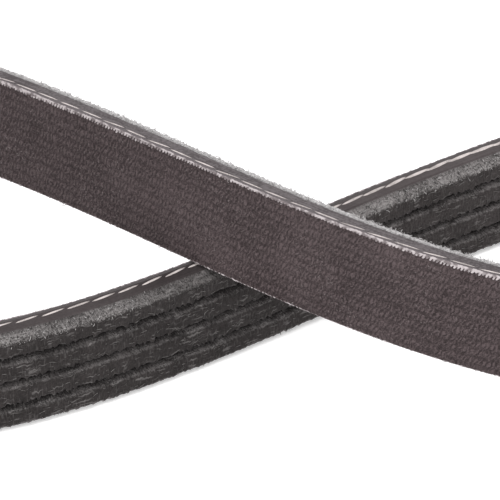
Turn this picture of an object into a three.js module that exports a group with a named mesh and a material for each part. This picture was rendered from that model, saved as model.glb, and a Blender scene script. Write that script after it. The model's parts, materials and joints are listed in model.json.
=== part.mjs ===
// Serpentine belt: one endless multi-rib drive belt, standing on its cut edge and laid in a figure of eight.
// Millimetres, +Z up. The origin is on the floor, under the middle of the belt's bounding box.
// The belt is moulded as one piece. Its three layers share every point of the faces where they are bonded.

import {
	Box3,
	BufferGeometry,
	Curve,
	Float32BufferAttribute,
	Group,
	MathUtils,
	Mesh,
	MeshStandardMaterial,
	Vector2,
	Vector3,
} from 'three';

// Belt section. The depth is counted from the cord line towards the rib crests.
const ribCount = 4;
const ribPitch = 3.56;
const ribHeight = 1.9;
const grooveAngle = 40;
const grooveFloorWidth = 0.35;
const ribTipRadius = 0.3;
const ribTipSteps = 2;
const cushionThickness = 1.15;
const cordLayerThickness = 0.8;
const fabricThickness = 0.5;

// Route of the cord line, seen from above.
const crossingReach = 88;
const lobeStretch = 31.5;
const lobeSpread = 34.5;
const routeBend = 30;

// Upper strand, where it passes over the lower one.
const crossingGap = 0.3;
const upperLean = 3;

// Stations of the sweep, and the step along the route that gives its direction at each.
const stationCount = 124;
const routeStep = 1e-4;

const beltWidth = ribCount * ribPitch;
const halfCordLayer = cordLayerThickness / 2;
const backDepth = - halfCordLayer - fabricThickness;
const grooveDepth = halfCordLayer + cushionThickness;
const crestDepth = grooveDepth + ribHeight;
const leanAngle = MathUtils.degToRad( upperLean );

// The leaning strand's lowest edge is its rib crests, so they set how high its cord line is carried.
const crossingLift = beltWidth + crossingGap + crestDepth * Math.sin( leanAngle );

// Closed route: the upper strand passes the crossing at u = 0, the lower one at u = 0.5.
class FigureEightRoute extends Curve {

	getPoint( u, target = new Vector3() ) {

		const turn = 2 * Math.PI * u;
		const side = Math.sin( turn );
		const x = crossingReach * side + lobeStretch * side ** 3;
		const y = routeBend * side ** 2 - lobeSpread * Math.sin( 2 * turn );

		return target.set( x, y, crossingLift * raised( u ) );

	}

}

// Share of the crossing's lift and lean: 1 at the upper pass, falling smoothly to 0 at the lobes' far ends.
function raised( u ) {

	const across = Math.cos( 2 * Math.PI * u );

	return across > 0 ? across ** 2 : 0;

}

// Frame of the belt at a station: across points to the ribs, which lie left of travel, and up runs to the top edge.
function stationFrame( route, u ) {

	const origin = route.getPoint( u );
	const ahead = route.getPoint( ( u + routeStep ) % 1 );
	const behind = route.getPoint( ( u - routeStep + 1 ) % 1 );
	const tangent = ahead.sub( behind ).normalize();
	const across = new Vector3( - tangent.y, tangent.x, 0 ).normalize();
	const up = new Vector3().crossVectors( tangent, across );
	const lean = - leanAngle * raised( u );

	across.applyAxisAngle( tangent, lean );
	up.applyAxisAngle( tangent, lean );

	return { origin, across, up };

}

// Outlines hold depth as x and height up the belt as y.
function layerOutline( innerDepth, outerDepth ) {

	return [
		new Vector2( innerDepth, 0 ),
		new Vector2( outerDepth, 0 ),
		new Vector2( outerDepth, beltWidth ),
		new Vector2( innerDepth, beltWidth ),
	];

}

// One rib from the groove floor below it to the one above, with both tip corners rounded.
function ribOutline( base ) {

	const flankLean = MathUtils.degToRad( grooveAngle / 2 );
	const flankRun = ribHeight * Math.tan( flankLean );
	const foot = grooveFloorWidth / 2;
	const cornerInset = ribTipRadius * ( 1 - Math.sin( flankLean ) ) / Math.cos( flankLean );
	const centreInset = foot + flankRun + cornerInset;
	const points = [ new Vector2( grooveDepth, base + foot ) ];
	const sweep = Math.PI / 2 - flankLean;

	for ( let step = 0; step <= ribTipSteps; step ++ ) {

		const angle = sweep * ( 1 - step / ribTipSteps );
		points.push( tipPoint( base + centreInset, - 1, angle ) );

	}

	for ( let step = 0; step <= ribTipSteps; step ++ ) {

		const angle = sweep * step / ribTipSteps;
		points.push( tipPoint( base + ribPitch - centreInset, 1, angle ) );

	}

	points.push( new Vector2( grooveDepth, base + ribPitch - foot ) );

	return points;

}

// A point on a tip corner's arc, at an angle from the crest towards the flank below (-1) or above (1).
function tipPoint( centreHeight, side, angle ) {

	const depth = crestDepth - ribTipRadius * ( 1 - Math.cos( angle ) );

	return new Vector2( depth, centreHeight + side * ribTipRadius * Math.sin( angle ) );

}

// The moulded body: a flat cushion on the cord layer, with the ribs on its other side.
function ribbedOutline() {

	const points = [ new Vector2( halfCordLayer, 0 ), new Vector2( grooveDepth, 0 ) ];

	for ( let rib = 0; rib < ribCount; rib ++ ) {

		points.push( ...ribOutline( rib * ribPitch ) );

	}

	points.push( new Vector2( grooveDepth, beltWidth ), new Vector2( halfCordLayer, beltWidth ) );

	return points;

}

// Sweeps an outline once round the route and joins the last station to the first.
function sweptLoop( outline, route ) {

	const positions = [];
	const indices = [];

	for ( let station = 0; station < stationCount; station ++ ) {

		const { origin, across, up } = stationFrame( route, station / stationCount );

		for ( const point of outline ) {

			const place = origin.clone().addScaledVector( across, point.x ).addScaledVector( up, point.y );
			positions.push( place.x, place.y, place.z );

		}

	}

	for ( let station = 0; station < stationCount; station ++ ) {

		const here = station * outline.length;
		const there = ( ( station + 1 ) % stationCount ) * outline.length;

		for ( let corner = 0; corner < outline.length; corner ++ ) {

			const next = ( corner + 1 ) % outline.length;
			const a = here + corner;
			const b = here + next;
			const c = there + next;
			const d = there + corner;

			// The diagonal climbs with travel, so bonded faces of two layers are cut into the same triangles.
			if ( outline[ next ].y >= outline[ corner ].y ) {

				indices.push( a, b, c, a, c, d );

			} else {

				indices.push( a, b, d, b, c, d );

			}

		}

	}

	const geometry = new BufferGeometry();
	geometry.setAttribute( 'position', new Float32BufferAttribute( positions, 3 ) );
	geometry.setIndex( indices );
	geometry.computeVertexNormals();

	return geometry;

}

function layer( name, outline, route, material ) {

	const mesh = new Mesh( sweptLoop( outline, route ), material );
	mesh.name = name;

	return mesh;

}

function ribRubber() {

	return new MeshStandardMaterial( { color: 0x474243, roughness: 0.82, metalness: 0 } );

}

function cordAndAdhesion() {

	return new MeshStandardMaterial( { color: 0x9a9490, roughness: 0.7, metalness: 0 } );

}

function backingWeave() {

	return new MeshStandardMaterial( { color: 0x4c4344, roughness: 0.9, metalness: 0 } );

}

const route = new FigureEightRoute();
const belt = new Group();

belt.add( layer( 'ribbed_body', ribbedOutline(), route, ribRubber() ) );
belt.add( layer( 'tensile_cord_layer', layerOutline( - halfCordLayer, halfCordLayer ), route, cordAndAdhesion() ) );
belt.add( layer( 'backing_fabric', layerOutline( backDepth, - halfCordLayer ), route, backingWeave() ) );

// The route starts from the crossing, so the whole belt is moved until its box is centred on the origin.
const middle = new Box3().setFromObject( belt ).getCenter( new Vector3() );
belt.position.set( - middle.x, - middle.y, 0 );

export default belt;
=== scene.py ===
import json
import math

import bpy
import numpy as np
from bpy.props import FloatProperty, FloatVectorProperty, IntProperty, PointerProperty
from bpy.types import Operator, Panel, PropertyGroup
from mathutils import Matrix, Vector


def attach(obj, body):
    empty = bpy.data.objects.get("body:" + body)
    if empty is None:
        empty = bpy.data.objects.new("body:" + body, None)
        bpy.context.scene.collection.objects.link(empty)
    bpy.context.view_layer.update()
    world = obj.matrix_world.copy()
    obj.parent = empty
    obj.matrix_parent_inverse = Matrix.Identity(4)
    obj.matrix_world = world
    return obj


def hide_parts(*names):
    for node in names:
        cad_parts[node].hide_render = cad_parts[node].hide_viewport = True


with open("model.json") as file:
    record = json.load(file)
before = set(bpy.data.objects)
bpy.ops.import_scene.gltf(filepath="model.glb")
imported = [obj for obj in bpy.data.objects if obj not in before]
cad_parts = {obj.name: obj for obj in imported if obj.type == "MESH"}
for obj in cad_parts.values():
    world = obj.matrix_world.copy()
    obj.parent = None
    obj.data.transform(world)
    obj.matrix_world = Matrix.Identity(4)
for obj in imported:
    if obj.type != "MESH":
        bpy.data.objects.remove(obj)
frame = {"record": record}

bl_info = {
    "name": "Serpentine Belt",
    "version": (1, 0, 0),
    "blender": (4, 5, 0),
    "location": "3D View > Sidebar > Belt",
    "description": "Dresses a multi-rib drive belt: ground rubber, cut cord, woven back and fibres",
    "category": "Add Mesh",
}

MM = 0.001
BODY = "root"
SHARP_EDGE = math.radians(50)
FLOOR_CLEARANCE = 0.02 * MM

# Belt section, as in the part's source. Depth is counted from the cord line towards the rib crests.
RIB_COUNT = 4
RIB_PITCH = 3.56 * MM
RIB_HEIGHT = 1.9 * MM
FLANK_LEAN = math.radians(40 / 2)
GROOVE_FLOOR = 0.35 * MM
TIP_RADIUS = 0.3 * MM
TIP_STEPS = 2
CUSHION = 1.15 * MM
CORD_LAYER = 0.8 * MM
FABRIC = 0.5 * MM

BELT_WIDTH = RIB_COUNT * RIB_PITCH
CORD_FACE = CORD_LAYER / 2
BACK = -CORD_FACE - FABRIC
GROOVE = CORD_FACE + CUSHION
CREST = GROOVE + RIB_HEIGHT
FOOT = GROOVE_FLOOR / 2
FLANK_RISE = RIB_HEIGHT * math.tan(FLANK_LEAN)

# The same in millimetres, for the materials. The last two are counted from the belt's middle.
CREST_MM = CREST / MM
GROOVE_MM = GROOVE / MM
BACK_MM = BACK / MM
EDGE_MM = BELT_WIDTH / MM / 2
OUTER_CREST_MM = EDGE_MM - FLANK_RISE / MM

# Route of the cord line, as in the part's source.
CROSSING_GAP = 0.3 * MM
UPPER_LEAN = math.radians(3)
ROUTE = {
    "Reach": 88 * MM,
    "Stretch": 31.5 * MM,
    "Spread": 34.5 * MM,
    "Bend": 30 * MM,
    "Lift": BELT_WIDTH + CROSSING_GAP + CREST * math.sin(UPPER_LEAN),
    "Lean": UPPER_LEAN,
}

# The first station, at a lobe's far end.
FIRST_TURN = math.pi / 2

# The record's floor mount lies this deep in the lower strand, under the crossing.
MOUNT_DEPTH = 1.0 * MM

# Painted shade and painted light on the lower strand, as distances from the crossing at which each
# starts to change and is done.
CROSSING_SHADE_NEAR, CROSSING_SHADE_FAR = 4 * MM, 17 * MM
PAINTED_LIGHT_NEAR, PAINTED_LIGHT_FAR = 6 * MM, 16 * MM

# Steps round the belt of the sweeps that no setting gives.
BAND_STATIONS = 900
FIBRE_STATIONS = 700

# How far the ribs' lower and upper crest corners are torn, as shares of the tear. The last one
# is the corner nearest the floor.
LOWER_TEAR, UPPER_TEAR, LOWEST_TEAR = 1.0, 0.45, 0.35

# The lower edge's fuzz, as shares of the upper edge's.
LOWER_FUZZ_DENSITY, LOWER_FUZZ_LENGTH = 0.35, 0.6

# Specular levels.
RUBBER_GLOSS = 0.15
THREAD_GLOSS = 0.2

WHITE = (1.0, 1.0, 1.0, 1.0)
PALE = (0.9, 0.9, 0.9, 1.0)

# Stored on the points for the trees: the belt's directions, and each bead's side and shares.
DIRECTIONS = ("travel", "across", "up")
SHARES = ("side", "long", "wide")

# Tree inputs that aren't a number.
INPUT_KINDS = {"Seed": "Int", "Crossing": "Vector"}


def route(side, ahead, lifted, size):
    """The cord line's place and its rate of travel, from the turn's sine, its cosine and that
    cosine's part above 0. It works on numbers, arrays and wires. The upper strand passes the
    crossing at turn 0."""
    place = (
        side * size["Reach"] + side * side * side * size["Stretch"],
        side * side * size["Bend"] - side * ahead * size["Spread"] * 2,
        lifted * lifted * size["Lift"],
    )
    rate = (
        ahead * (size["Reach"] + side * side * size["Stretch"] * 3),
        side * ahead * size["Bend"] * 2 - (1 - side * side * 2) * size["Spread"] * 2,
        lifted * side * size["Lift"] * -2,
    )
    return place, rate


def even_turns(count):
    """Turns of count stations that are evenly spaced along the cord line, and the loop's length."""
    fine = np.linspace(FIRST_TURN, FIRST_TURN + 2 * math.pi, 20001)
    ahead = np.cos(fine)
    points = np.stack(route(np.sin(fine), ahead, np.maximum(ahead, 0), ROUTE)[0], axis=-1)
    run = np.concatenate([[0.0], np.cumsum(np.linalg.norm(np.diff(points, axis=0), axis=1))])
    return np.interp(np.arange(count) / count * run[-1], run, fine), run[-1]


LOOP_LENGTH = even_turns(8)[1]


def crossing():
    """Where the route's crossing lies in the frame, from the record's floor mount."""
    mount = Vector(frame["record"]["mounts"][0]["pos_m"])
    travel = Vector(route(0.0, -1.0, 0.0, ROUTE)[1]).normalized()
    return mount - MOUNT_DEPTH * Vector((-travel.y, travel.x, 0.0))


CROSSING = crossing()


class Wire:
    """A node's output, with arithmetic: each expression adds the Math nodes that it needs."""

    def __init__(self, sheet, socket):
        self.sheet = sheet
        self.socket = socket

    def math(self, operation, *values):
        inputs = dict(enumerate((self, *values)))
        return self.sheet.node("ShaderNodeMath", {"operation": operation}, inputs)

    def output(self, name):
        """Another output of the same node."""
        return Wire(self.sheet, self.socket.node.outputs[name])

    def __add__(self, other):
        return self.math("ADD", other)

    __radd__ = __add__

    def __sub__(self, other):
        return self.math("SUBTRACT", other)

    def __rsub__(self, other):
        return self.sheet.node("ShaderNodeMath", {"operation": "SUBTRACT"}, {0: other, 1: self})

    def __mul__(self, other):
        return self.math("MULTIPLY", other)

    __rmul__ = __mul__

    def __truediv__(self, other):
        return self.math("DIVIDE", other)


class Sheet:
    """Adds nodes to one tree. Settings are set first, then the values or wires of the inputs."""

    def __init__(self, tree):
        self.tree = tree

    def node(self, kind, settings=None, values=None, output=0):
        made = self.tree.nodes.new(kind)
        for name, value in (settings or {}).items():
            setattr(made, name, value)
        for name, value in (values or {}).items():
            if isinstance(value, Wire):
                self.tree.links.new(value.socket, made.inputs[name])
            else:
                made.inputs[name].default_value = value
        return Wire(self, made.outputs[output]) if made.outputs else made

    def vector(self, x, y, z=0.0):
        return self.node("ShaderNodeCombineXYZ", None, {0: x, 1: y, 2: z})

    def parts(self, vector):
        split = self.node("ShaderNodeSeparateXYZ", None, {0: vector})
        return split, split.output("Y"), split.output("Z")

    def arrows(self, operation, first, second=None):
        """Vector maths on one or two vectors."""
        values = {0: first} if second is None else {0: first, 1: second}
        return self.node("ShaderNodeVectorMath", {"operation": operation}, values)

    def scaled(self, vector, factor):
        values = {0: vector, "Scale": factor}
        return self.node("ShaderNodeVectorMath", {"operation": "SCALE"}, values)

    def mix(self, factor, first, second):
        """Blends two colours, each a wire or three numbers."""
        colours = [value if isinstance(value, Wire) else (*value, 1.0) for value in (first, second)]
        values = {0: factor, 6: colours[0], 7: colours[1]}
        return self.node("ShaderNodeMix", {"data_type": "RGBA"}, values, 2)

    def noise(self, vector, scale, detail=2.0, roughness=0.5):
        """Soft patches, about scale of them to a unit of the vector."""
        values = {"Vector": vector, "Scale": scale, "Detail": detail, "Roughness": roughness}
        return self.node("ShaderNodeTexNoise", None, values)

    def ramp(self, value, low, high):
        """0 at low and 1 at high, with a smooth rise between. Low may be the larger."""
        values = {"Value": value, "From Min": low, "From Max": high}
        return self.node("ShaderNodeMapRange", {"interpolation_type": "SMOOTHSTEP"}, values)

    def curls(self, vector, width):
        """Thin curling lines, where a noise passes through its middle."""
        away = (self.noise(vector, 1.0, 1.0, 0.4) - 0.5).math("ABSOLUTE")
        return self.ramp(away, width, width * 0.35)


def new_material(name):
    """An empty material, and the sheet to draw it on."""
    material = bpy.data.materials.new(name)
    material.use_nodes = True
    material.node_tree.nodes.clear()
    return material, Sheet(material.node_tree)


def surfaced(material, sheet, **values):
    """Ends a material with its surface. An underscore in an input's name stands for a space."""
    values = {name.replace("_", " "): value for name, value in values.items()}
    surface = sheet.node("ShaderNodeBsdfPrincipled", None, values)
    sheet.node("ShaderNodeOutputMaterial", None, {"Surface": surface})
    return material


def bump(sheet, height, distance):
    return sheet.node("ShaderNodeBump", None, {"Height": height, "Distance": distance})


def along_and_around(sheet):
    """Metres along the belt and metres round its section."""
    return sheet.parts(sheet.node("ShaderNodeUVMap", {"uv_map": "belt"}))[:2]


def depth_and_height(sheet):
    """Place in the belt's section, in millimetres."""
    section = sheet.node("ShaderNodeAttribute", {"attribute_name": "section"}, None, "Vector")
    return sheet.parts(section)[:2]


def object_place(sheet):
    return sheet.node("ShaderNodeTexCoord", None, None, "Object")


def dustiness(sheet):
    """1 where the belt is lifted over its crossing and gathers dust and fuzz, 0 near the floor."""
    height = sheet.parts(object_place(sheet))[2]
    return sheet.ramp(height, BELT_WIDTH, BELT_WIDTH + ROUTE["Lift"])


def crossing_shade(sheet):
    """Painted shade: 1 on the lower strand beside its crossing, where the upper strand shades it, 0
    away from it.
    """
    touch = tuple(CROSSING + Vector((0.0, 0.0, BELT_WIDTH)))
    away = sheet.arrows("DISTANCE", object_place(sheet), touch).output("Value")
    return sheet.ramp(away, CROSSING_SHADE_FAR, CROSSING_SHADE_NEAR) * (1 - dustiness(sheet))


def painted_light_right(sheet):
    """Painted light: 1 on the lower strand right of its crossing, where its colours are lightened
    to stand in for light, 0 left of it.
    """
    right = sheet.parts(object_place(sheet))[0] - CROSSING.x
    return sheet.ramp(right, PAINTED_LIGHT_NEAR, PAINTED_LIGHT_FAR) * (1 - dustiness(sheet))


def cut_side(sheet, settings):
    """The smooth rubber that the cutter leaves at the belt's edges, streaked along its path.
    Gives its colour and its grain."""
    spot = object_place(sheet)
    along, depth = along_and_around(sheet)[0], depth_and_height(sheet)[0]
    cloud = sheet.noise(spot, 210.0, 3.0, 0.6)
    grain = sheet.noise(spot, 3000.0, 2.0, 0.6)
    streak = sheet.noise(sheet.vector(along * 140.0, depth * 4.0), 1.0)
    tone = cloud * 0.3 + grain * 0.4 + streak * 0.3
    cut = sheet.mix(sheet.ramp(tone, 0.35, 0.65), settings.cut_dark, settings.cut_light)
    # Painted shade: the cut rubber is darkened beside the crossing.
    cut = sheet.mix(crossing_shade(sheet) * 0.35, cut, settings.painted_shade)
    # Painted light: the cut rubber is lightened right of the crossing.
    cut = sheet.scaled(cut, 1 + painted_light_right(sheet) * 0.3)
    dust = sheet.mix(sheet.ramp(tone, 0.42, 0.58), settings.dust_dark, settings.dust_light)
    return sheet.mix(dustiness(sheet), cut, dust), grain


def ground_rubber(sheet, settings, on_flank, cloud):
    """The ribs' dark faces and chalky flanks, as ground. Gives their colour and relief."""
    along, around = along_and_around(sheet)
    grain = sheet.noise(object_place(sheet), 4600.0, 3.0, 0.6)
    upright = sheet.noise(sheet.vector(along * 5200.0, around * 1300.0), 1.0, 2.0, 0.6)
    tone = grain * 0.4 + upright * 0.35 + cloud * 0.25
    face = sheet.mix(sheet.ramp(tone, 0.36, 0.66), settings.dark, settings.light)
    flank = sheet.mix(sheet.ramp(tone, 0.41, 0.6), settings.flank_dark, settings.flank_light)
    # Painted light: the rib colours are lightened right of the crossing.
    colour = sheet.scaled(sheet.mix(on_flank, face, flank), 1 + painted_light_right(sheet) * 0.5)
    return colour, grain * 0.5 + upright * 0.4


def felted_area(sheet, depth, away):
    """1 on the outer flanks, where the cutter raised the fibres into felt, with a ragged edge."""
    ragged = sheet.noise(object_place(sheet), 1100.0, 3.0, 0.65) * 0.7
    outward = sheet.ramp(away + ragged, OUTER_CREST_MM - 0.18, OUTER_CREST_MM + 0.12)
    reach = depth + dustiness(sheet) * 0.55 + ragged
    return outward * sheet.ramp(reach, GROOVE_MM + 0.5, GROOVE_MM + 1.15)


def hair_cover(sheet, depth, on_flank, felted, cloud):
    """How much pale hair covers the rubber: strokes that lie or stand on the faces, felt, and
    loose hair on the inner flanks."""
    along, around = along_and_around(sheet)
    dust = dustiness(sheet)
    patchy = sheet.ramp(sheet.noise(object_place(sheet), 600.0), 0.46, 0.62)
    lying = sheet.noise(sheet.vector(along * 380.0, around * 3800.0), 1.0, 1.0)
    standing = sheet.noise(sheet.vector(along * 3600.0, around * 900.0), 1.0, 1.0)
    strokes = sheet.ramp(lying, 0.55, 0.68) * patchy * 0.22
    strokes = strokes + sheet.ramp(standing, 0.58, 0.7) * 0.07

    long_hair = sheet.curls(sheet.vector(along * 2700.0, around * 1500.0), 0.07)
    short_hair = sheet.curls(sheet.vector(along * 3600.0, around * 2600.0), 0.06)
    # Painted shade: less pale hair beside the crossing.
    clean = sheet.ramp(cloud, 0.3, 0.62) * (1 - dust) * (1 - crossing_shade(sheet) * 0.8)
    # Painted light: more pale hair right of the crossing.
    thick = clean * 0.3 + dust * 0.57 + painted_light_right(sheet) * 0.06 + 0.08
    rise = sheet.ramp(depth, GROOVE_MM + 0.3, CREST_MM - 0.2)
    felt = long_hair.math("MAXIMUM", short_hair) * thick + dust * rise * 0.55 + 0.01
    loose = short_hair * patchy * on_flank * (1 - felted) * 0.3
    return strokes + felted * felt + loose


def rubber_material(settings):
    """Ribbed rubber: ground charcoal faces with fibres lying in them, felted outer flanks,
    grooves darkened with painted shade and smooth cut edges."""
    material, sheet = new_material("ground_rubber")
    depth, height = depth_and_height(sheet)
    away = (height - EDGE_MM).math("ABSOLUTE")
    cloud = sheet.noise(object_place(sheet), 260.0, 3.0, 0.55)
    on_flank = sheet.ramp(depth, CREST_MM - 0.01, CREST_MM - 0.27)
    ground, grain = ground_rubber(sheet, settings, on_flank, cloud)
    felted = felted_area(sheet, depth, away)
    pale = hair_cover(sheet, depth, on_flank, felted, cloud)
    hair = sheet.mix(dustiness(sheet), settings.fibre, settings.dusty_fibre)
    worn = sheet.mix(pale.math("MINIMUM", 1.0), ground, hair)

    # Painted shade in the grooves, stronger right of the crossing.
    sunk = sheet.ramp(depth, GROOVE_MM + 0.8, GROOVE_MM + 0.4)
    sunk = sunk * sheet.ramp(away, EDGE_MM - 1.2, EDGE_MM - 1.6)
    shaded = sheet.mix(sunk * (painted_light_right(sheet) * 0.2 + 0.5), worn, settings.painted_shade)
    side, side_grain = cut_side(sheet, settings)
    on_side = sheet.ramp(depth, GROOVE_MM + 0.2, GROOVE_MM - 0.05)
    on_side = on_side * sheet.ramp(away, EDGE_MM - 0.3, EDGE_MM - 0.15) * (1 - felted)
    relief = (grain + pale * 0.8) * (1 - on_side) + side_grain * on_side * 0.3
    return surfaced(
        material,
        sheet,
        Base_Color=sheet.mix(on_side, shaded, side),
        Roughness=0.8 - on_side * 0.2,
        Normal=bump(sheet, relief, settings.grain_depth),
        Specular_IOR_Level=RUBBER_GLOSS,
    )


def cut_rubber_material(settings):
    """The adhesion rubber round the cord, as cut."""
    material, sheet = new_material("cut_rubber")
    side, grain = cut_side(sheet, settings)
    relief = bump(sheet, grain * 0.3, settings.grain_depth)
    return surfaced(material, sheet, Base_Color=side, Roughness=0.6, Normal=relief,
                    Specular_IOR_Level=RUBBER_GLOSS)


def cord_material(settings):
    """Twisted polyester, cut through: pale, with fine strands along each ply."""
    material, sheet = new_material("cut_cord")
    strand = sheet.noise(object_place(sheet), 7000.0, 2.0, 0.6)
    cloud = sheet.noise(object_place(sheet), 500.0)
    shade = sheet.ramp(strand * 0.5 + cloud * 0.5, 0.36, 0.6)
    base = sheet.mix(shade, settings.shade, settings.cord)
    relief = bump(sheet, strand, settings.strand_depth)
    return surfaced(material, sheet, Base_Color=base, Roughness=0.7, Normal=relief,
                    Specular_IOR_Level=THREAD_GLOSS)


def fabric_material(settings):
    """Rubberised weave: slanting floats in rows across the belt, dusted with lint."""
    material, sheet = new_material("woven_back")
    spot = object_place(sheet)
    along, around = along_and_around(sheet)
    columns = round(LOOP_LENGTH / settings.thread_pitch)
    stray = (sheet.noise(spot, 1100.0) - 0.5) * 1.1
    row = around / settings.float_pitch + stray
    column = along * (columns / LOOP_LENGTH) + row.math("FRACT") * 0.95 + stray
    ridge = (column * (2 * math.pi)).math("COSINE") * 0.5 + 0.5
    swell = (row * (2 * math.pi)).math("COSINE") * -0.5 + 0.5
    weave = ridge * (swell * 0.8 + 0.2)

    floats = sheet.noise(sheet.vector(column * 1.9, row * 2.2), 1.0)
    grain = sheet.noise(spot, 5200.0, 2.0, 0.65)
    cloud = sheet.noise(spot, 90.0, 3.0, 0.6)
    tone = weave * 0.14 + floats * 0.33 + grain * 0.45 + cloud * 0.2
    base = sheet.mix(sheet.ramp(tone, 0.38, 0.72), settings.dark, settings.light)
    lint = sheet.ramp(sheet.noise(spot, 3200.0, 2.0, 0.6), 0.6, 0.72)
    lint = lint * sheet.ramp(sheet.noise(spot, 150.0), 0.4, 0.65) * 0.45
    face = sheet.mix(lint, base, settings.lint)
    edge = sheet.mix(dustiness(sheet), settings.cut_edge, settings.edge_dust)
    on_face = sheet.ramp(depth_and_height(sheet)[0], BACK_MM + 0.06, BACK_MM + 0.02)
    return surfaced(
        material,
        sheet,
        Base_Color=sheet.mix(on_face, edge, face),
        Roughness=0.85,
        Normal=bump(sheet, weave * 0.6 + grain * 0.5, settings.weave_depth),
        Specular_IOR_Level=RUBBER_GLOSS,
    )


def fibre_material(name, dark, light):
    """Loose fibres, each stretch a little lighter or darker."""
    material, sheet = new_material(name)
    tone = sheet.noise(object_place(sheet), 1400.0, 1.0)
    base = sheet.mix(sheet.ramp(tone, 0.38, 0.62), dark, light)
    return surfaced(material, sheet, Base_Color=base, Roughness=0.8,
                    Specular_IOR_Level=THREAD_GLOSS)


def fuzz_material(settings):
    """Fuzz of the outer flanks: darker beside the crossing, as painted shade, and pale where dust
    lies on it.
    """
    material, sheet = new_material("stray_fibre")
    tone = sheet.noise(object_place(sheet), 2400.0, 1.0)
    # Painted shade: the fuzz is darkened beside the crossing.
    shade = sheet.ramp(tone, 0.48, 0.6) * (1 - crossing_shade(sheet) * 0.75)
    base = sheet.mix(shade, settings.dark, settings.light)
    base = sheet.mix(dustiness(sheet) * 0.8, base, settings.dusty)
    return surfaced(material, sheet, Base_Color=base, Roughness=0.8,
                    Specular_IOR_Level=THREAD_GLOSS)


def new_tree(name, *labels):
    """A Geometry Nodes tree with a mesh in, a mesh out and named inputs, and a wire from each."""
    tree = bpy.data.node_groups.new(name, "GeometryNodeTree")
    tree.interface.new_socket("Mesh", in_out="INPUT", socket_type="NodeSocketGeometry")
    for label in labels:
        kind = "NodeSocket" + INPUT_KINDS.get(label, "Float")
        tree.interface.new_socket(label, in_out="INPUT", socket_type=kind)
    tree.interface.new_socket("Mesh", in_out="OUTPUT", socket_type="NodeSocketGeometry")
    sheet = Sheet(tree)
    given = sheet.node("NodeGroupInput")
    return tree, sheet, given, {label: given.output(label) for label in labels}


def random_value(sheet, low, high, seed):
    values = {2: low, 3: high, "Seed": seed}
    return sheet.node("FunctionNodeRandomValue", {"data_type": "FLOAT"}, values, 1)


def stored(sheet, name, kind="FLOAT_VECTOR"):
    return sheet.node("GeometryNodeInputNamedAttribute", {"data_type": kind}, {"Name": name})


def store(sheet, mesh, name, value):
    settings = {"data_type": "FLOAT_VECTOR", "domain": "POINT"}
    values = {"Geometry": mesh, "Name": name, "Value": value}
    return sheet.node("GeometryNodeStoreNamedAttribute", settings, values)


def moved(sheet, mesh, position):
    values = {"Geometry": mesh, "Position": position}
    return sheet.node("GeometryNodeSetPosition", None, values)


def aimed(sheet, settings, values):
    return sheet.node("FunctionNodeAlignRotationToVector", settings, values)


def spun(sheet, rotation, angle):
    """Turns a rotation further, about its own Z."""
    euler = sheet.vector(0.0, 0.0, angle)
    spin = sheet.node("FunctionNodeEulerToRotation", None, {"Euler": euler})
    values = {"Rotation": rotation, "Rotate By": spin}
    return sheet.node("FunctionNodeRotateRotation", {"rotation_space": "LOCAL"}, values)


def lay_tree():
    """Lays flat work round the route. Each point comes as turn, depth and height. The belt's
    directions there are stored on it."""
    tree, sheet, given, value = new_tree("lay_round_route", *ROUTE, "Crossing")
    turn, depth, height = sheet.parts(sheet.node("GeometryNodeInputPosition"))
    side, ahead = turn.math("SINE"), turn.math("COSINE")
    lifted = ahead.math("MAXIMUM", 0.0)
    place, rate = route(side, ahead, lifted, value)
    travel = sheet.arrows("NORMALIZE", sheet.vector(*rate))
    across = sheet.arrows("NORMALIZE", sheet.vector(rate[1] * -1, rate[0]))
    up = sheet.arrows("CROSS_PRODUCT", travel, across)
    lean = lifted * lifted * value["Lean"]
    tilt, level = lean.math("SINE"), lean.math("COSINE")
    leaned = sheet.arrows("SUBTRACT", sheet.scaled(across, level), sheet.scaled(up, tilt))
    raised = sheet.arrows("ADD", sheet.scaled(up, level), sheet.scaled(across, tilt))
    centre = sheet.arrows("ADD", sheet.vector(*place), value["Crossing"])
    offset = sheet.arrows("ADD", sheet.scaled(leaned, depth), sheet.scaled(raised, height))
    mesh = given
    for name, direction in zip(DIRECTIONS, (travel, leaned, raised)):
        mesh = store(sheet, mesh, name, direction)
    mesh = moved(sheet, mesh, sheet.arrows("ADD", centre, offset))
    sheet.node("NodeGroupOutput", None, {"Mesh": mesh})
    return tree


def end_tree(sheet, mesh, material):
    mesh = sheet.node("GeometryNodeSetMaterial", None, {"Geometry": mesh, "Material": material})
    sheet.node("NodeGroupOutput", None, {"Mesh": mesh})


def solid_tree(material):
    """Gives a laid sweep its material."""
    tree, sheet, given, _ = new_tree("finish_" + material.name)
    mesh = sheet.node("GeometryNodeRealizeInstances", None, {"Geometry": given})
    end_tree(sheet, mesh, material)
    return tree


def scatter(sheet, material, points, instance, rotation, scale):
    """Puts an instance on each point, makes real mesh of them and keeps it above the floor."""
    values = {"Points": points, "Instance": instance, "Rotation": rotation, "Scale": scale}
    instances = sheet.node("GeometryNodeInstanceOnPoints", None, values)
    mesh = sheet.node("GeometryNodeRealizeInstances", None, {"Geometry": instances})
    x, y, z = sheet.parts(sheet.node("GeometryNodeInputPosition"))
    mesh = moved(sheet, mesh, sheet.vector(x, y, z.math("MAXIMUM", FLOOR_CLEARANCE)))
    end_tree(sheet, mesh, material)


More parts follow.
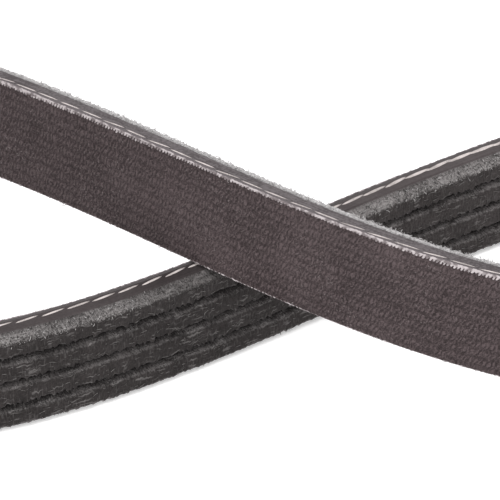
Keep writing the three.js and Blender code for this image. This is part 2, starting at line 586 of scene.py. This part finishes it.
def fibre_tree(material, grain):
    """Scatters short bent fibres. Each leans from the surface's normal, by Lie, either way along
    the grain, a stored direction, and strays from that by Spread."""
    labels = ("Density", "Length", "Thickness", "Curl", "Lie", "Spread", "Seed")
    tree, sheet, given, value = new_tree("fibres_along_" + grain, *labels)
    seed, curl, lie = value["Seed"], value["Curl"], value["Lie"]
    method = {"distribute_method": "RANDOM"}
    values = {"Mesh": given, "Density": value["Density"], "Seed": seed}
    points = sheet.node("GeometryNodeDistributePointsOnFaces", method, values)

    # One fibre, a unit long: its stem rises straight and its tip curls over.
    tip = sheet.vector(curl, 0.0, 1.0 - curl * 0.6)
    values = {"Resolution": 2, "Start": (0.0, 0.0, 0.0), "Middle": (0.0, 0.0, 0.6), "End": tip}
    spine = sheet.node("GeometryNodeCurveQuadraticBezier", None, values)
    values = {"Resolution": 3, "Radius": value["Thickness"] / value["Length"] * 0.5}
    ring = sheet.node("GeometryNodeCurvePrimitiveCircle", None, values)
    values = {"Curve": spine, "Profile Curve": ring, "Fill Caps": True}
    fibre = sheet.node("GeometryNodeCurveToMesh", None, values)

    either = random_value(sheet, -1.0, 1.0, seed + 1).math("SIGN")
    leaning = sheet.scaled(stored(sheet, grain), lie * either)
    direction = sheet.arrows("ADD", sheet.scaled(points.output("Normal"), 1 - lie), leaning)
    values = {0: (-1.0,) * 3, 1: (1.0,) * 3, "Seed": seed + 2}
    stray = sheet.node("FunctionNodeRandomValue", {"data_type": "FLOAT_VECTOR"}, values)
    direction = sheet.arrows("ADD", direction, sheet.scaled(stray, value["Spread"]))
    turned = aimed(sheet, {"axis": "Z"}, {"Vector": direction})
    turned = spun(sheet, turned, random_value(sheet, 0.0, 2 * math.pi, seed + 3))
    size = value["Length"] * random_value(sheet, 0.4, 1.3, seed + 4)
    scatter(sheet, material, points, fibre, turned, sheet.vector(size, size, size))
    return tree


def bead_tree(material, along, facing):
    """Lays a flat bead of thread at each point, along one stored direction and facing another."""
    labels = ("Length", "Width", "Thickness", "Slant", "Scatter", "Seed")
    tree, sheet, given, value = new_tree("beads_along_" + along, *labels)

    def strayed(offset):
        """A random number round 0, in proportion to the scatter."""
        return value["Scatter"] * random_value(sheet, -0.5, 0.5, value["Seed"] + offset)

    bead = sheet.node("GeometryNodeMeshUVSphere", None, {"Segments": 8, "Rings": 5, "Radius": 0.5})
    outward = sheet.scaled(stored(sheet, facing), stored(sheet, "side", "FLOAT"))
    turned = aimed(sheet, {"axis": "Z"}, {"Vector": outward})
    line = {"Rotation": turned, "Vector": stored(sheet, along)}
    turned = aimed(sheet, {"axis": "X", "pivot_axis": "Z"}, line)
    turned = spun(sheet, turned, value["Slant"] + strayed(1))
    length = stored(sheet, "long", "FLOAT") * (1 + strayed(2)) * value["Length"]
    width = stored(sheet, "wide", "FLOAT") * (1 + strayed(3)) * value["Width"]
    scatter(sheet, material, given, bead, turned, sheet.vector(length, width, value["Thickness"]))
    return tree


def add_object(name, data):
    made = bpy.data.objects.new(name, data)
    bpy.context.scene.collection.objects.link(made)
    return made


def run_tree(carrier, tree, given):
    """Hangs a tree on an object and sets its named inputs."""
    modifier = carrier.modifiers.new(tree.name, "NODES")
    modifier.node_group = tree
    for socket in tree.interface.items_tree:
        if socket.in_out == "INPUT" and socket.name in given:
            modifier[socket.identifier] = given[socket.name]


def grown(name, flat, tree, values):
    """Lays a flat mesh round the route, runs the tree on it and returns a plain mesh."""
    carrier = add_object(name + "_base", flat)
    run_tree(carrier, lay_tree(), {**ROUTE, "Crossing": tuple(CROSSING)})
    run_tree(carrier, tree, values)
    depsgraph = bpy.context.evaluated_depsgraph_get()
    evaluated = carrier.evaluated_get(depsgraph)
    mesh = bpy.data.meshes.new_from_object(evaluated, depsgraph=depsgraph)
    carrier.modifiers.clear()
    bpy.data.objects.remove(carrier)
    bpy.data.meshes.remove(flat)
    for helper in DIRECTIONS + SHARES:
        if helper in mesh.attributes:
            mesh.attributes.remove(mesh.attributes[helper])
    mesh.name = name
    mesh.shade_smooth()
    return mesh


def add_piece(mesh, node=None):
    """Makes the piece's object and ties it to the frame."""
    piece = add_object(mesh.name, mesh)
    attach(piece, BODY)
    if node:
        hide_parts(node)


def add_layer(name, outline, stations, material, node, shake=0.0):
    """Sweeps one layer of the belt round the route. It stands for a CAD node."""
    flat = flat_sweep([outline], stations, shake)
    mesh = grown(name, flat, solid_tree(material), {})
    mesh.set_sharp_from_angle(angle=SHARP_EDGE)
    add_piece(mesh, node)


def flat_sweep(strips, stations, shake=0.0):
    """Strips of the belt's section, each a list of depths and heights, drawn out flat over the
    turns. shake holds each station's own offsets, for a single strip. The UV map holds metres."""
    turns, length = even_turns(stations)
    points, faces, section, u, v = [], [], [], [], []
    start = 0
    for strip in strips:
        strip = np.array(strip)
        count = len(strip)
        corners = count - int(np.array_equal(strip[0], strip[-1]))
        spot = np.empty((stations, corners, 3))
        spot[..., 0] = turns[:, None]
        spot[..., 1:] = strip[:corners] + shake
        points.append(spot.reshape(-1, 3))
        place = np.c_[strip[:corners] / MM, np.zeros(corners)]
        section.append(np.tile(place, (stations, 1)))
        grid = np.meshgrid(range(stations), range(count - 1), indexing="ij")
        here, corner = (numbers.ravel() for numbers in grid)
        there, following = (here + 1) % stations, (corner + 1) % corners
        rows = np.stack([here, here, there, there], axis=-1) * corners
        faces.append(rows + np.stack([corner, following, following, corner], axis=-1) + start)
        start += stations * corners
        steps = np.linalg.norm(np.diff(strip, axis=0), axis=1)
        around = np.concatenate([[0.0], np.cumsum(steps)])
        u.append(np.stack([here, here, here + 1, here + 1], axis=-1) * length / stations)
        v.append(around[np.stack([corner, corner + 1, corner + 1, corner], axis=-1)])
    mesh = bpy.data.meshes.new("flat_sweep")
    mesh.from_pydata(np.concatenate(points), [], np.concatenate(faces))
    belt = np.stack([np.concatenate(u), np.concatenate(v)], axis=-1)
    mesh.uv_layers.new(name="belt").data.foreach_set("uv", belt.astype(np.float32).ravel())
    keep(mesh, "section", np.concatenate(section))
    return mesh


def flat_rows(rows, count):
    """Evenly spaced points along the belt. A row gives depth, height, the side it faces, and
    shares of the beads' length and width, each as a number or one for each point."""
    turns = even_turns(count)[0]
    columns = [[turns, *(turns * 0 + value for value in row)] for row in rows]
    points, shares = np.split(np.concatenate(columns, axis=1).T, [3], axis=1)
    mesh = bpy.data.meshes.new("flat_rows")
    mesh.from_pydata(points, [], [])
    for label, values in zip(SHARES, shares.T):
        keep(mesh, label, values)
    return mesh


def keep(mesh, name, values):
    """Stores a number or a vector for each point."""
    kind, field = ("FLOAT", "value") if values.ndim == 1 else ("FLOAT_VECTOR", "vector")
    attribute = mesh.attributes.new(name, kind, "POINT")
    attribute.data.foreach_set(field, np.ascontiguousarray(values, np.float32).ravel())


def drift(generator, count, reach):
    """Random numbers round a loop of stations, with a spread of 1, blended over their reach."""
    raw = generator.normal(size=count)
    kernel = np.exp(-0.5 * (np.fft.fftfreq(count) * count / max(reach, 0.4)) ** 2)
    raw = np.fft.ifft(np.fft.fft(raw) * np.fft.fft(kernel)).real
    return raw / raw.std()


def arc(height, start, end):
    """Points on a tip corner, in depth and height, with angles counted from the depth axis."""
    depth = CREST - TIP_RADIUS
    angles = np.linspace(start, end, TIP_STEPS + 1)
    return [(depth + TIP_RADIUS * math.cos(a), height + TIP_RADIUS * math.sin(a)) for a in angles]


def half_way(start, end):
    return tuple(np.add(start, np.subtract(end, start) / 2))


def rib_points(base):
    """One rib from the groove floor below it to the one above, with the tip's corners rounded."""
    inset = FOOT + FLANK_RISE + TIP_RADIUS * (1 - math.sin(FLANK_LEAN)) / math.cos(FLANK_LEAN)
    turn = math.pi / 2 - FLANK_LEAN
    low_corner = arc(base + inset, -turn, 0)
    high_corner = arc(base + RIB_PITCH - inset, 0, turn)
    low_foot, high_foot = (GROOVE, base + FOOT), (GROOVE, base + RIB_PITCH - FOOT)
    low_flank = half_way(low_foot, low_corner[0])
    high_flank = half_way(high_corner[-1], high_foot)
    return [low_foot, low_flank, *low_corner, *high_corner, high_flank, high_foot]


def ribbed_outline():
    """The moulded body. Its cut edges run smoothly into the outer flanks."""
    points = [(CORD_FACE, 0.0), (GROOVE - 0.1 * MM, 0.0)]
    for rib in range(RIB_COUNT):
        points += rib_points(rib * RIB_PITCH)
    points += [(GROOVE - 0.1 * MM, BELT_WIDTH), (CORD_FACE, BELT_WIDTH), points[0]]
    return np.array(points)


def band_outline(inner, outer, steps):
    """A flat layer between two depths. Its inner face is cut into steps across the belt's width."""
    inner_face = [(inner, height) for height in np.linspace(BELT_WIDTH, 0, steps + 1)]
    return [(outer, 0.0), (outer, BELT_WIDTH), *inner_face, (outer, 0.0)]


def torn_crests(outline, stations, tear):
    """Offsets that tear the crests' corners, for each station and point of the outline."""
    depth, height = outline[:-1, 0], outline[:-1, 1]
    generator = np.random.default_rng(3)
    shake = np.zeros((stations, len(depth), 2))
    for rib in range(RIB_COUNT):
        for way, share in ((-1, LOWER_TEAR if rib else LOWEST_TEAR), (1, UPPER_TEAR)):
            outward = way * (height - (rib + 0.5) * RIB_PITCH)
            corner = (depth > CREST - TIP_RADIUS) & (outward > 0) & (outward < RIB_PITCH / 2)
            chips = np.maximum(np.abs(drift(generator, stations, 0.4)) - 0.7, 0) * 0.9
            chips += np.abs(drift(generator, stations, 0)) * 1.1
            chips += np.abs(drift(generator, stations, 3)) * 0.2
            sunk = np.abs(drift(generator, stations, 1)) * 0.3
            shake[:, corner, 1] += way * share * tear * chips[:, None]
            shake[:, corner, 0] -= tear * sunk[:, None]
    return shake


def outer_flank(share):
    """A point on the upper outer flank, from 0 at its foot to 1 at the crest."""
    return GROOVE + share * RIB_HEIGHT, BELT_WIDTH - FOOT - share * FLANK_RISE


def a_number(name, description, default, unit="NONE"):
    return FloatProperty(name=name, description=description, default=default, unit=unit)


def a_length(name, description, millimetres):
    return a_number(name, description, millimetres * MM, "LENGTH")


def an_angle(name, description, degrees):
    default = math.radians(degrees)
    return FloatProperty(name=name, description=description, default=default, subtype="ANGLE")


def a_density(name, description, default):
    return a_number(name, description + ", to a square metre", default)


def a_colour(name, description, *default):
    return FloatVectorProperty(
        name=name, description=description, default=default, subtype="COLOR"
    )


def a_count(name, description, default):
    return IntProperty(name=name, description=description, default=default)


class RibbedBodySettings(PropertyGroup):
    """The moulded rubber and how its ribs were ground."""

    stations: a_count("Stations", "Steps of the sweep", 2250)
    tear: a_length("Tear", "How far the crests' corners are torn", 0.2)
    grain_depth: a_length("Grain depth", "Relief of the ground surface", 0.08)
    dark: a_colour("Dark", "Rubber in its hollows", 0.013, 0.011, 0.0108)
    light: a_colour("Light", "Rubber where the grain stands up", 0.0345, 0.0298, 0.0294)
    flank_dark: a_colour("Flank, dark", "Chalky flanks, darkest", 0.026, 0.0235, 0.0232)
    flank_light: a_colour("Flank, light", "Chalky flanks, lightest", 0.112, 0.103, 0.102)
    # Painted shade: the colour that the grooves and the rubber beside the crossing are darkened
    # towards.
    painted_shade: a_colour("Groove", "Rubber at the bottom of the grooves", 0.008, 0.006, 0.006)
    fibre: a_colour("Fibre", "Fibres that lie in the rubber", 0.37, 0.35, 0.345)
    dusty_fibre: a_colour("Dusty fibre", "These fibres under dust", 0.64, 0.62, 0.625)
    cut_dark: a_colour("Cut, dark", "Smooth cut rubber, darkest", 0.045, 0.0372, 0.0377)
    cut_light: a_colour("Cut, light", "Smooth cut rubber, lightest", 0.064, 0.0546, 0.0551)
    dust_dark: a_colour("Dust, dark", "Cut rubber under dust, darkest", 0.068, 0.058, 0.0605)
    dust_light: a_colour("Dust, light", "Cut rubber under dust, lightest", 0.132, 0.117, 0.1215)


class CordSettings(PropertyGroup):
    """The twisted cord, as cut at the belt's edges."""

    ply_pitch: a_length("Ply pitch", "From one ply of the twisted cord to the next", 3.7)
    ply_length: a_length("Ply length", "Length of a cut ply", 3.5)
    ply_width: a_length("Ply width", "Width of a cut ply", 0.3)
    ply_thickness: a_length("Ply thickness", "Thickness of a cut ply", 0.14)
    ply_slant: an_angle("Ply slant", "Turn of a ply from the belt's edge", 4)
    strand_depth: a_length("Strand depth", "Relief of a ply's strands", 0.02)
    cord: a_colour("Cord", "Cut polyester cord", 0.62, 0.56, 0.545)
    shade: a_colour("Cord shade", "Between the cord's strands", 0.30, 0.27, 0.26)


class FabricSettings(PropertyGroup):
    """The woven back and its frayed edge."""

    stations: a_count("Stations", "Steps of the sweep", 1800)
    thread_pitch: a_length("Thread pitch", "From one column of floats to the next", 0.58)
    float_pitch: a_length("Float pitch", "From one row of floats to the next", 1.29)
    weave_depth: a_length("Weave depth", "Relief of the weave", 0.1)
    end_pitch: a_length("End pitch", "From one frayed thread end to the next", 0.45)
    end_length: a_length("End length", "Length of a frayed thread end", 0.52)
    end_width: a_length("End width", "Width of a frayed thread end", 0.36)
    rim_length: a_length("Rim length", "Length of a thread along the rim", 1.05)
    rim_width: a_length("Rim width", "Width of a thread along the rim", 0.32)
    fray_thickness: a_length("Fray thickness", "Thickness of these threads", 0.12)
    frizz_density: a_density("Frizz density", "Loose fibres on the frayed edge", 0.8e7)
    frizz_length: a_length("Frizz length", "Length of a loose fibre", 0.38)
    frizz_thickness: a_length("Frizz thickness", "Thickness of a loose fibre", 0.045)
    dark: a_colour("Dark", "Between the threads", 0.0195, 0.0142, 0.0146)
    light: a_colour("Light", "On top of the threads", 0.086, 0.0655, 0.0675)
    lint: a_colour("Lint", "Pale lint caught in the weave", 0.23, 0.20, 0.20)
    cut_edge: a_colour("Cut edge", "The fabric's cut edge", 0.086, 0.078, 0.079)
    edge_dust: a_colour("Dusty edge", "The cut edge under dust", 0.130, 0.114, 0.118)
    fray_dark: a_colour("Fray, dark", "Frayed threads, darkest", 0.165, 0.142, 0.145)
    fray_light: a_colour("Fray, light", "Frayed threads, lightest", 0.415, 0.375, 0.38)


class FibreSettings(PropertyGroup):
    """Short fibres that stand out of the ribs or lie on them."""

    flank_density: a_density("Flank density", "Fibres on the upper outer flank", 5.6e6)
    flank_length: a_length("Flank length", "Length of these fibres", 0.5)
    flank_thickness: a_length("Flank thickness", "Thickness of these fibres", 0.07)
    dark: a_colour("Dark", "These fibres, darkest", 0.036, 0.033, 0.032)
    light: a_colour("Light", "These fibres, lightest", 0.44, 0.425, 0.42)
    dusty: a_colour("Dusty", "These fibres under dust", 0.62, 0.60, 0.60)
    face_density: a_density("Face density", "Fibres on the rib faces", 6.0e5)
    face_length: a_length("Face length", "Length of these fibres", 1.0)
    face_thickness: a_length("Face thickness", "Thickness of these fibres", 0.042)
    face_dark: a_colour("On the faces, dark", "These fibres, darkest", 0.05, 0.046, 0.045)
    face_light: a_colour("On the faces, light", "These fibres, lightest", 0.22, 0.21, 0.205)


class StageSettings(PropertyGroup):
    """Floor, light and the photograph's camera."""

    depression: an_angle("Depression", "How far down the camera looks", 32.33)
    azimuth: an_angle("Azimuth", "How far round to the right the camera stands", -0.52)
    roll: an_angle("Roll", "Tilt of the camera's frame", 1.85)
    distance: a_length("Distance", "From the camera to the aim point", 800)
    frame_width: a_length("Frame width", "Width of the view at the aim point", 500 / 7.593)
    aim: FloatVectorProperty(
        name="Aim",
        description="Aim point, from the crossing",
        default=(6.707 * MM, 14.644 * MM, 7.12 * MM),
        subtype="TRANSLATION",
        unit="LENGTH",
    )
    sky: a_number("Sky", "Strength of the light all round", 0.7)
    floor_glow: a_number("Floor glow", "Light that comes up through the floor", 0.35)
    front_lamp: a_number("Front lamp", "Power of the lamp behind the camera", 7.0, "POWER")
    top_lamp: a_number("Top lamp", "Power of the lamp overhead", 3.5, "POWER")


class BELT_OT_ribbed_body(Operator):
    """Build the moulded rubber body with its ribs"""

    bl_idname = "belt.ribbed_body"
    bl_label = "Ribbed body"

    def execute(self, context):
        settings = context.scene.belt_ribs
        stations, outline = settings.stations, ribbed_outline()
        shake = torn_crests(outline, stations, settings.tear)
        material = rubber_material(settings)
        add_layer("ribbed_rubber", outline, stations, material, "ribbed_body", shake)
        return {"FINISHED"}


class BELT_OT_cord_layer(Operator):
    """Build the adhesion rubber that holds the cord"""

    bl_idname = "belt.cord_layer"
    bl_label = "Cord layer"

    def execute(self, context):
        outline = band_outline(-CORD_FACE, CORD_FACE, 1)
        material = cut_rubber_material(context.scene.belt_ribs)
        add_layer("adhesion_rubber", outline, BAND_STATIONS, material,
                  "tensile_cord_layer")
        return {"FINISHED"}


class BELT_OT_cord_plies(Operator):
    """Lay the cut plies of the twisted cord along both edges"""

    bl_idname = "belt.cord_plies"
    bl_label = "Cut cord plies"

    def execute(self, context):
        settings = context.scene.belt_cord
        count = round(LOOP_LENGTH / settings.ply_pitch)
        turns = even_turns(count)[0]
        generator = np.random.default_rng(11)
        rows = []
        for height, side, phase in ((BELT_WIDTH, 1, 0.64), (0.0, -1, 2.4)):
            depth = MM * (-0.05 - 0.15 * np.cos(turns) + 0.02 * drift(generator, count, 6))
            wide = 1.0 - 0.25 * np.cos(turns + phase) + 0.06 * drift(generator, count, 4)
            # Where the cutter met the cord's middle, the plies merge into a wavy line.
            merged = np.maximum(-np.cos(turns + phase), 0) ** 10
            rows.append((depth, height, side, 1.04 + 0.45 * merged, wide + 1.45 * merged))
        values = {"Length": settings.ply_length, "Width": settings.ply_width,
                  "Thickness": settings.ply_thickness, "Slant": settings.ply_slant,
                  "Scatter": 0.12, "Seed": 5}
        tree = bead_tree(cord_material(settings), "travel", "up")
        add_piece(grown("cut_cord_plies", flat_rows(rows, count), tree, values))
        return {"FINISHED"}


class BELT_OT_backing_fabric(Operator):
    """Build the woven back"""

    bl_idname = "belt.backing_fabric"
    bl_label = "Backing fabric"

    def execute(self, context):
        settings = context.scene.belt_fabric
        outline = band_outline(BACK, -CORD_FACE, 20)
        material = fabric_material(settings)
        add_layer("woven_back", outline, settings.stations, material,
                  "backing_fabric")
        return {"FINISHED"}


def add_thread_ends(settings, material, generator):
    """Frayed thread ends, side by side at the back's upper edge. They hang down in scallops."""
    count = round(LOOP_LENGTH / settings.end_pitch)
    scallops = 1 + 0.28 * np.cos(11 * (even_turns(count)[0] + 0.16))
    long = generator.uniform(0.75, 1.15, count) * scallops
    swell = 1 + 0.15 * drift(generator, count, 5)
    height = BELT_WIDTH + 0.02 * MM - settings.end_length / 2 * long
    values = {"Length": settings.end_length, "Width": settings.end_width,
              "Thickness": settings.fray_thickness, "Slant": math.radians(-28),
              "Scatter": 0.35, "Seed": 21}
    flat = flat_rows([(BACK, height, -1, long, swell)], count)
    tree = bead_tree(material, "up", "across")
    add_piece(grown("thread_ends", flat, tree, values))


def add_frayed_rim(settings, material, generator):
    """Threads along the back's corners: a full line at the upper one, knots at the lower one."""
    count = round(LOOP_LENGTH / settings.thread_pitch)
    swell = 1 + 0.25 * drift(generator, count, 5)
    upper = (BACK + 0.01 * MM, BELT_WIDTH - 0.05 * MM, -1, 1.0, swell)
    long, wide = generator.uniform(0.25, 0.8, count), generator.uniform(0.05, 0.65, count)
    lower = (BACK, 0.03 * MM, -1, long, wide)
    values = {"Length": settings.rim_length, "Width": settings.rim_width,
              "Thickness": settings.fray_thickness, "Slant": math.radians(-8),
              "Scatter": 0.3, "Seed": 22}
    tree = bead_tree(material, "travel", "across")
    add_piece(grown("frayed_rim", flat_rows([upper, lower], count), tree, values))


def add_edge_frizz(settings, material):
    """Loose fibres on two narrow bands along the back's corners."""
    upper = [(BACK, BELT_WIDTH), (BACK, BELT_WIDTH - 0.25 * MM)]
    lower = [(BACK, 0.05 * MM), (BACK, 0.0)]
    values = {"Density": settings.frizz_density, "Length": settings.frizz_length,
              "Thickness": settings.frizz_thickness, "Curl": 0.6, "Lie": 0.7, "Spread": 0.6,
              "Seed": 23}
    flat = flat_sweep([upper, lower], BAND_STATIONS)
    add_piece(grown("edge_frizz", flat, fibre_tree(material, "up"), values))


class BELT_OT_frayed_edge(Operator):
    """Fray the fabric's cut edges: thread ends in a row, a rim along the corner, loose frizz"""

    bl_idname = "belt.frayed_edge"
    bl_label = "Frayed edge"

    def execute(self, context):
        settings = context.scene.belt_fabric
        material = fibre_material("frayed_thread", settings.fray_dark, settings.fray_light)
        generator = np.random.default_rng(17)
        add_thread_ends(settings, material, generator)
        add_frayed_rim(settings, material, generator)
        add_edge_frizz(settings, material)
        return {"FINISHED"}


class BELT_OT_rib_fibres(Operator):
    """Grow the stray fibres of the ribs"""

    bl_idname = "belt.rib_fibres"
    bl_label = "Rib fibres"

    def execute(self, context):
        settings = context.scene.belt_fibres
        edge = outer_flank(1)[1]
        crest = [(CREST, edge - 0.2 * MM), (CREST - 0.1 * MM, edge)]
        upper, corner = [*crest, outer_flank(0.2)], [*crest, outer_flank(0.7)]
        lower = [(depth, BELT_WIDTH - height) for depth, height in reversed(upper)]
        values = {"Density": settings.flank_density, "Length": settings.flank_length,
                  "Thickness": settings.flank_thickness, "Curl": 0.7, "Lie": 0.2, "Spread": 0.8,
                  "Seed": 31}
        tree = fibre_tree(fuzz_material(settings), "travel")
        flat = flat_sweep([upper, corner], FIBRE_STATIONS)
        add_piece(grown("upper_edge_fuzz", flat, tree, values))

        values["Density"] *= LOWER_FUZZ_DENSITY
        values["Length"] *= LOWER_FUZZ_LENGTH
        values["Seed"] = 32
        flat = flat_sweep([lower], FIBRE_STATIONS)
        add_piece(grown("lower_edge_fuzz", flat, tree, values))

        faces = []
        for rib in range(RIB_COUNT):
            low, high = rib * RIB_PITCH + FOOT, (rib + 1) * RIB_PITCH - FOOT
            faces.append([(CREST, low + FLANK_RISE), (CREST, high - FLANK_RISE),
                          (GROOVE + 0.4 * RIB_HEIGHT, high - 0.4 * FLANK_RISE)])
        values = {"Density": settings.face_density, "Length": settings.face_length,
                  "Thickness": settings.face_thickness, "Curl": 0.15, "Lie": 0.92, "Spread": 0.2,
                  "Seed": 33}
        material = fibre_material("lying_fibre", settings.face_dark, settings.face_light)
        tree = fibre_tree(material, "travel")
        flat = flat_sweep(faces, FIBRE_STATIONS)
        add_piece(grown("face_fibres", flat, tree, values))
        return {"FINISHED"}


def point_at(thing, location, target, roll=0.0):
    thing.location = location
    facing = (Vector(target) - Vector(location)).to_track_quat("-Z", "Y").to_matrix()
    thing.rotation_euler = (facing @ Matrix.Rotation(roll, 3, "Z")).to_euler()


def direction(azimuth, elevation):
    """Unit vector from the belt: azimuth 0 is the front, and it turns towards the right."""
    level = math.cos(elevation)
    return Vector((math.sin(azimuth) * level, -math.cos(azimuth) * level, math.sin(elevation)))


def add_floor(glow):
    """A wide white table, just under the belt, lit a little from beneath."""
    reach = 8.0
    mesh = bpy.data.meshes.new("floor")
    corners = [(-reach, -reach), (reach, -reach), (reach, reach), (-reach, reach)]
    mesh.from_pydata([(*corner, -FLOOR_CLEARANCE) for corner in corners], [], [(0, 1, 2, 3)])
    material = surfaced(*new_material("pale_floor"), Base_Color=PALE, Roughness=0.9,
                        Specular_IOR_Level=0.0, Emission_Color=WHITE, Emission_Strength=glow)
    mesh.materials.append(material)
    add_object("floor", mesh)


def add_sky(strength):
    world = bpy.data.worlds.new("soft_studio")
    world.use_nodes = True
    background = world.node_tree.nodes["Background"]
    background.inputs["Color"].default_value = WHITE
    background.inputs["Strength"].default_value = strength
    bpy.context.scene.world = world


def add_lamp(name, azimuth, elevation, size, power):
    """A round soft lamp, one metre from the crossing, in the direction given in degrees."""
    lamp = bpy.data.lights.new(name, "AREA")
    lamp.shape = "DISK"
    lamp.size = size
    lamp.energy = power
    towards = direction(math.radians(azimuth), math.radians(elevation))
    point_at(add_object(name, lamp), CROSSING + towards, CROSSING)


def add_camera(settings):
    """The photograph's camera: a long lens that looks down at the crossing."""
    camera = bpy.data.cameras.new("photo_camera")
    camera.sensor_width = 36.0
    camera.lens = camera.sensor_width * settings.distance / settings.frame_width
    camera.clip_start = 0.01
    aim = CROSSING + Vector(settings.aim)
    place = aim + settings.distance * direction(settings.azimuth, settings.depression)
    holder = add_object("photo_camera", camera)
    point_at(holder, place, aim, settings.roll)
    bpy.context.scene.camera = holder


class BELT_OT_stage(Operator):
    """Set the floor, the soft light and the camera"""

    bl_idname = "belt.stage"
    bl_label = "Stage"

    def execute(self, context):
        settings = context.scene.belt_stage
        add_floor(settings.floor_glow)
        add_sky(settings.sky)
        add_lamp("front_lamp", -20, 40, 0.8, settings.front_lamp)
        add_lamp("top_lamp", 30, 80, 0.7, settings.top_lamp)
        add_camera(settings)
        context.scene.view_settings.view_transform = "Standard"
        return {"FINISHED"}


OPERATORS = (
    BELT_OT_ribbed_body,
    BELT_OT_cord_layer,
    BELT_OT_cord_plies,
    BELT_OT_backing_fabric,
    BELT_OT_frayed_edge,
    BELT_OT_rib_fibres,
    BELT_OT_stage,
)

SETTINGS = {
    "belt_ribs": RibbedBodySettings,
    "belt_cord": CordSettings,
    "belt_fabric": FabricSettings,
    "belt_fibres": FibreSettings,
    "belt_stage": StageSettings,
}


class BELT_PT_panel(Panel):
    """Lists the belt's pieces"""

    bl_label = "Serpentine belt"
    bl_idname = "BELT_PT_panel"
    bl_space_type = "VIEW_3D"
    bl_region_type = "UI"
    bl_category = "Belt"

    def draw(self, context):
        for operator in OPERATORS:
            self.layout.operator(operator.bl_idname)
        for name, group in SETTINGS.items():
            box = self.layout.box()
            box.label(text=group.__doc__)
            for label in group.__annotations__:
                box.prop(getattr(context.scene, name), label)


def register():
    for name, group in SETTINGS.items():
        bpy.utils.register_class(group)
        setattr(bpy.types.Scene, name, PointerProperty(type=group))
    for operator in OPERATORS:
        bpy.utils.register_class(operator)
    bpy.utils.register_class(BELT_PT_panel)


def unregister():
    bpy.utils.unregister_class(BELT_PT_panel)
    for operator in reversed(OPERATORS):
        bpy.utils.unregister_class(operator)
    for name, group in SETTINGS.items():
        delattr(bpy.types.Scene, name)
        bpy.utils.unregister_class(group)


def main():
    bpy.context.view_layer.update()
    register()
    bpy.ops.belt.ribbed_body()
    bpy.ops.belt.cord_layer()
    bpy.ops.belt.cord_plies()
    bpy.ops.belt.backing_fabric()
    bpy.ops.belt.frayed_edge()
    bpy.ops.belt.rib_fibres()
    bpy.ops.belt.stage()


if __name__ == "__main__":
    main()
